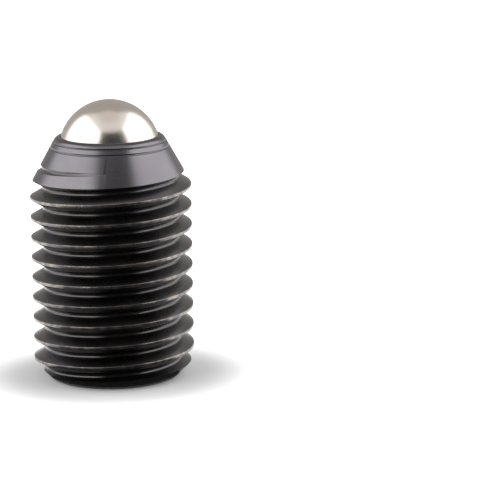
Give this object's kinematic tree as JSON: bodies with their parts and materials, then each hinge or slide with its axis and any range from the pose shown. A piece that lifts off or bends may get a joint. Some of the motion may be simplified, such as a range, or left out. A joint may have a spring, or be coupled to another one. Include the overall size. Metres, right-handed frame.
{
  "type": "ball spring plunger",
  "caption": "Ball spring plunger: a fully threaded steel set screw with a hexagon socket, a coned nose and a spring-loaded ball that sinks into its rolled rim.",
  "frame": {"origin": "centre of the flat face at the socket end, which the plunger stands on", "axes": "+Z along the screw's axis from the socket end to the ball; the thread's groove crosses the end face's plane on +X; corners of the hexagon socket point along X"},
  "size_m": [0.0158, 0.0158, 0.0275],
  "materials": {
    "black_steel": "black oxide over turned steel, oiled",
    "ball_steel": "ground and polished stainless steel",
    "spring_steel": "drawn stainless spring wire with ground ends"
  },
  "bodies": {
    "screw": {"threaded_body": "black_steel", "spring": "spring_steel"},
    "ball": {"ball": "ball_steel"}
  },
  "joints": [
    {"name": "ball_press", "type": "slide", "parent": "screw", "child": "ball", "axis": [0, 0, -1], "range_m": [0, 0.0035], "stiffness_N_per_m": 18000, "springref_m": -0.0025, "deforming": ["spring"]}
  ]
}
